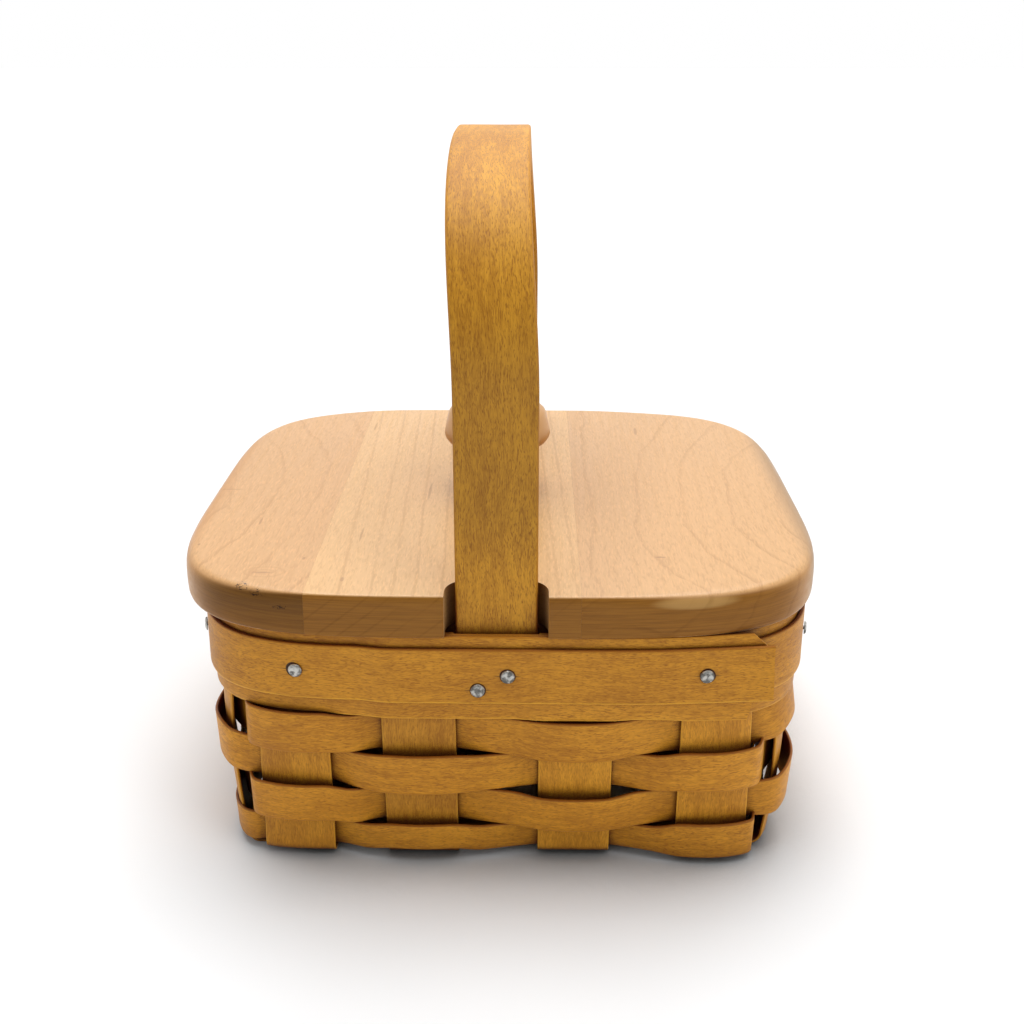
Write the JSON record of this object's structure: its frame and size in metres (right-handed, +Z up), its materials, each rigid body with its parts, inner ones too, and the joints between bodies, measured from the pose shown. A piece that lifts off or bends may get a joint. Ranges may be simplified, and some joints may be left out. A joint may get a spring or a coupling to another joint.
{
  "type": "lidded pie basket",
  "caption": "Woven wooden splint basket with rounded square plan, a tall fixed bent handle and a loose flat wooden lid with a turned knob.",
  "frame": {"origin": "on the surface the basket stands on, under the middle of the lid and of the handle's legs", "axes": "+Z up; the handle arches along Y from front to back; the front, with the rim lap, faces -Y; +X to the right seen from the front"},
  "size_m": [0.207, 0.1931, 0.2216],
  "materials": {
    "honey_maple": "thin honey stained hardwood splint, oiled, satin",
    "pale_maple": "pale solid hardwood, clear satin finish",
    "tack_steel": "plain steel tack with a low domed head, slightly dull",
    "screw_steel": "plated steel wood screw"
  },
  "bodies": {
    "basket": {"handle": "honey_maple", "inner_rim_band": "honey_maple", "outer_rim_band": "honey_maple", "rim_trim_strip": "honey_maple", "upright_front_back_1": "honey_maple", "upright_front_back_2": "honey_maple", "upright_front_back_3": "honey_maple", "upright_front_back_4": "honey_maple", "upright_side_side_1": "honey_maple", "upright_side_side_2": "honey_maple", "upright_side_side_3": "honey_maple", "upright_side_side_4": "honey_maple", "weaver_row_1": "honey_maple", "weaver_row_2": "honey_maple", "weaver_row_3": "honey_maple", "weaver_row_4": "honey_maple", "rim_tack_1": "tack_steel", "rim_tack_2": "tack_steel", "rim_tack_3": "tack_steel", "rim_tack_4": "tack_steel", "rim_tack_5": "tack_steel", "rim_tack_6": "tack_steel", "rim_tack_7": "tack_steel", "rim_tack_8": "tack_steel", "handle_tack_1": "tack_steel", "handle_tack_2": "tack_steel", "handle_tack_3": "tack_steel", "handle_tack_4": "tack_steel"},
    "lid": {"lid_board_left": "pale_maple", "lid_board_middle": "pale_maple", "lid_board_right": "pale_maple", "lid_knob": "pale_maple", "knob_screw": "screw_steel"}
  },
  "joints": [
    {"name": "lid_lift", "type": "slide", "parent": "basket", "child": "lid", "axis": [0, 0, 1], "range_m": [0, 0.065]}
  ]
}
